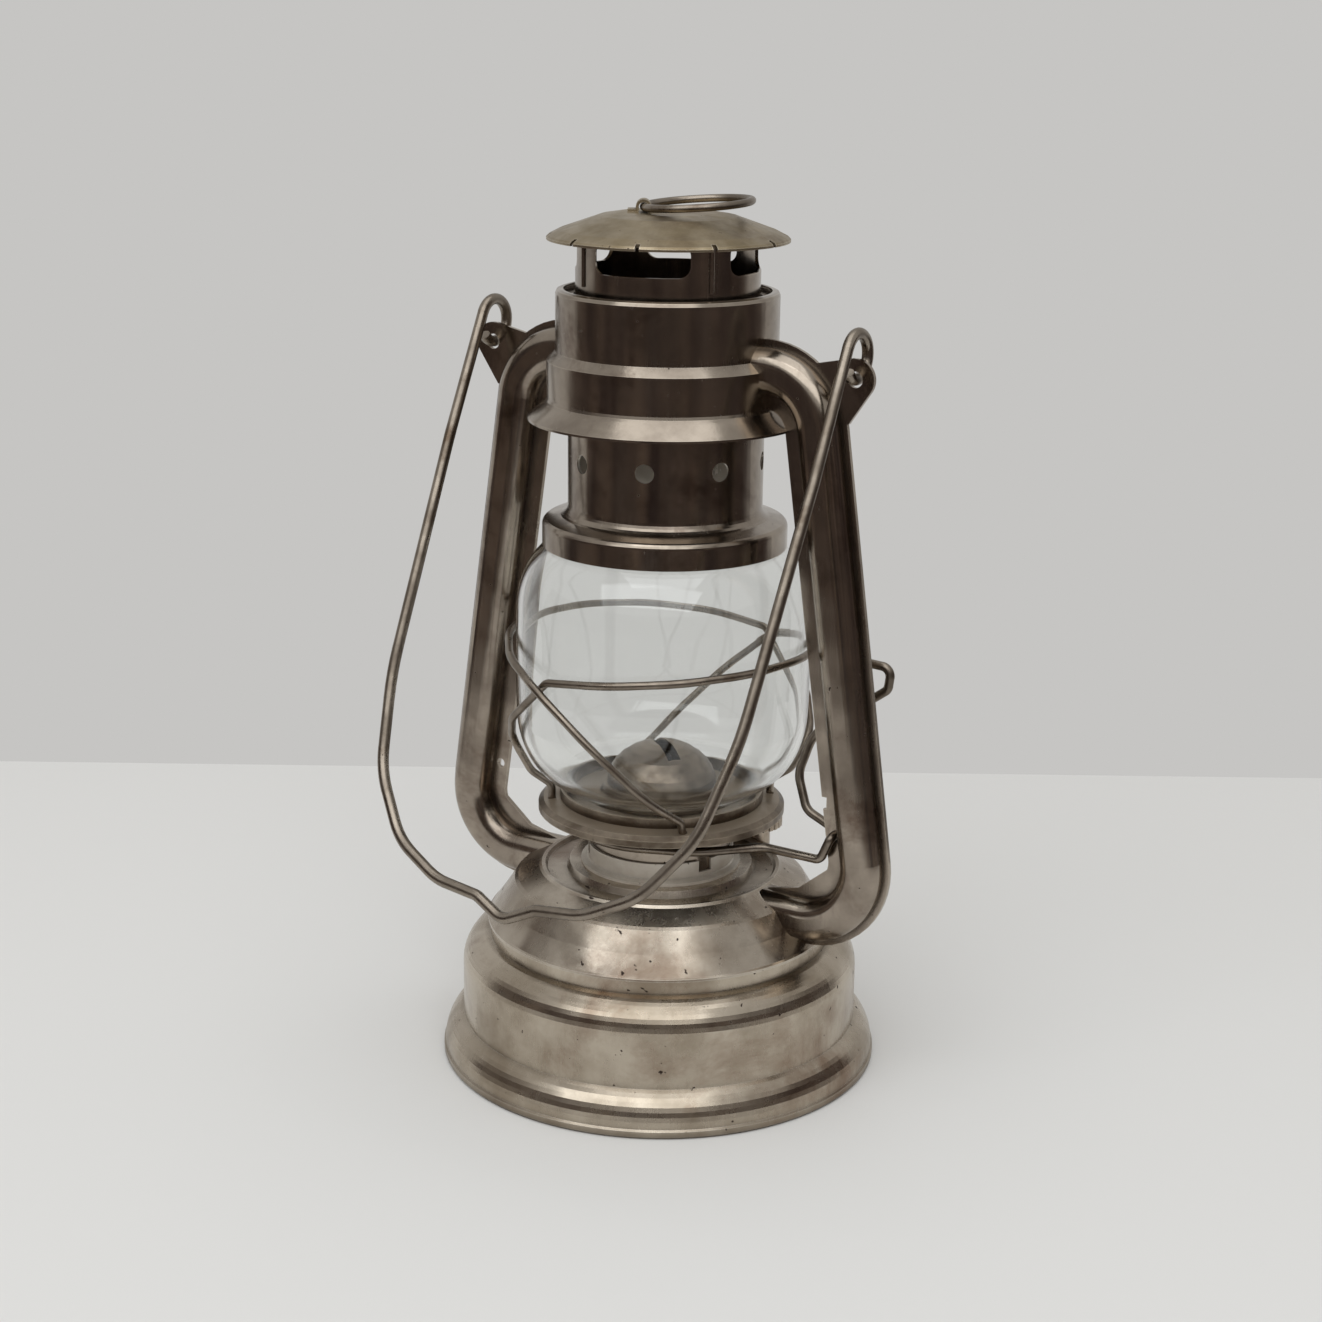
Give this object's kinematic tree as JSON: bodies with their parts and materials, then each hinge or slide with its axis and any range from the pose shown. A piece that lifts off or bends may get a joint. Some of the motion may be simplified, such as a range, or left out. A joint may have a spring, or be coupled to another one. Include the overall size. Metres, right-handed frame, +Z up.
{
  "type": "kerosene lantern",
  "caption": "Tubular kerosene lantern: round tank, burner, glass globe with wire guard, side air tubes, hood, chimney with ringed cap, and a wire bail.",
  "frame": {"origin": "centre of the foot on the surface it stands on", "axes": "+Z up through the globe and chimney, +X toward the tube with the lift lever, +Y toward the filler"},
  "size_m": [0.1478, 0.1418, 0.2472],
  "materials": {
    "worn_plate": "worn satin plating with small brown stains",
    "tarnished_plate": "darkened plating, half glossy",
    "bright_plate": "bright plating",
    "steel_wire": "tarnished plated wire",
    "clear_glass": "clear blown glass",
    "cotton": "woven cotton tape, charred at the top",
    "gasket": "matt"
  },
  "bodies": {
    "frame": {"tank_shell": "worn_plate", "tank_bottom": "tarnished_plate", "tank_deck": "tarnished_plate", "dome": "worn_plate", "burner_collar": "bright_plate", "burner_body": "bright_plate", "wick_tube": "bright_plate", "burner_cone": "bright_plate", "filler_neck": "worn_plate", "right_tube_front": "tarnished_plate", "right_tube_back": "tarnished_plate", "left_tube_front": "tarnished_plate", "left_tube_back": "tarnished_plate", "hood_drum": "tarnished_plate", "hood_lid": "tarnished_plate", "chimney_spring": "steel_wire"},
    "carriage": {"globe_plate": "worn_plate", "plate_sleeve": "worn_plate", "globe": "clear_glass", "guard_wire_a": "steel_wire", "guard_wire_b": "steel_wire"},
    "chimney": {"chimney_bell": "worn_plate", "chimney_crown": "tarnished_plate", "cap": "worn_plate", "ring_staple": "worn_plate"},
    "ring": {"ring": "steel_wire"},
    "bail": {"bail": "steel_wire"},
    "lever": {"lift_lever": "steel_wire"},
    "winder": {"wick_spindle": "bright_plate", "wick_knob": "bright_plate"},
    "wick": {"wick": "cotton"},
    "filler_cap": {"filler_cap": "worn_plate", "filler_gasket": "gasket"}
  },
  "joints": [
    {"name": "globe_lift", "type": "slide", "parent": "frame", "child": "carriage", "axis": [0, 0, 1], "range_m": [0, 0.008]},
    {"name": "chimney_lift", "type": "slide", "parent": "carriage", "child": "chimney", "axis": [0, 0, 1], "range_m": [0, 0.006], "stiffness_N_per_m": 60, "springref_m": -0.01, "deforming": ["chimney_spring"]},
    {"name": "ring_fold", "type": "hinge", "parent": "chimney", "child": "ring", "pos_m": [-0.00578, -0.00358, 0.2441], "axis": [0.527, -0.8499, 0], "range_deg": [0, 165]},
    {"name": "bail_swing", "type": "hinge", "parent": "frame", "child": "bail", "pos_m": [0, 0, 0.209], "axis": [-1, 0, 0], "range_deg": [0, 240]},
    {"name": "lever_press", "type": "hinge", "parent": "frame", "child": "lever", "pos_m": [0.0566, 0, 0.0763], "axis": [0, 1, 0], "range_deg": [0, 6]},
    {"name": "wick_turn", "type": "hinge", "parent": "frame", "child": "winder", "pos_m": [-0.0028, -0.00371, 0.0655], "axis": [0.7986, -0.6018, 0], "range_deg": [-165, 100]},
    {"name": "wick_rise", "type": "slide", "parent": "frame", "child": "wick", "axis": [0, 0, 1], "range_m": [-0.01, 0.006]},
    {"name": "filler_turn", "type": "hinge", "parent": "frame", "child": "filler_cap", "pos_m": [0.00811, 0.03815, 0.061], "axis": [0, 0, 1], "continuous": true}
  ],
  "couplings": [
    {"joint": "lever_press", "follows": "globe_lift", "rad_per_m": 12.2},
    {"joint": "wick_rise", "follows": "wick_turn", "m_per_rad": 0.0034}
  ]
}
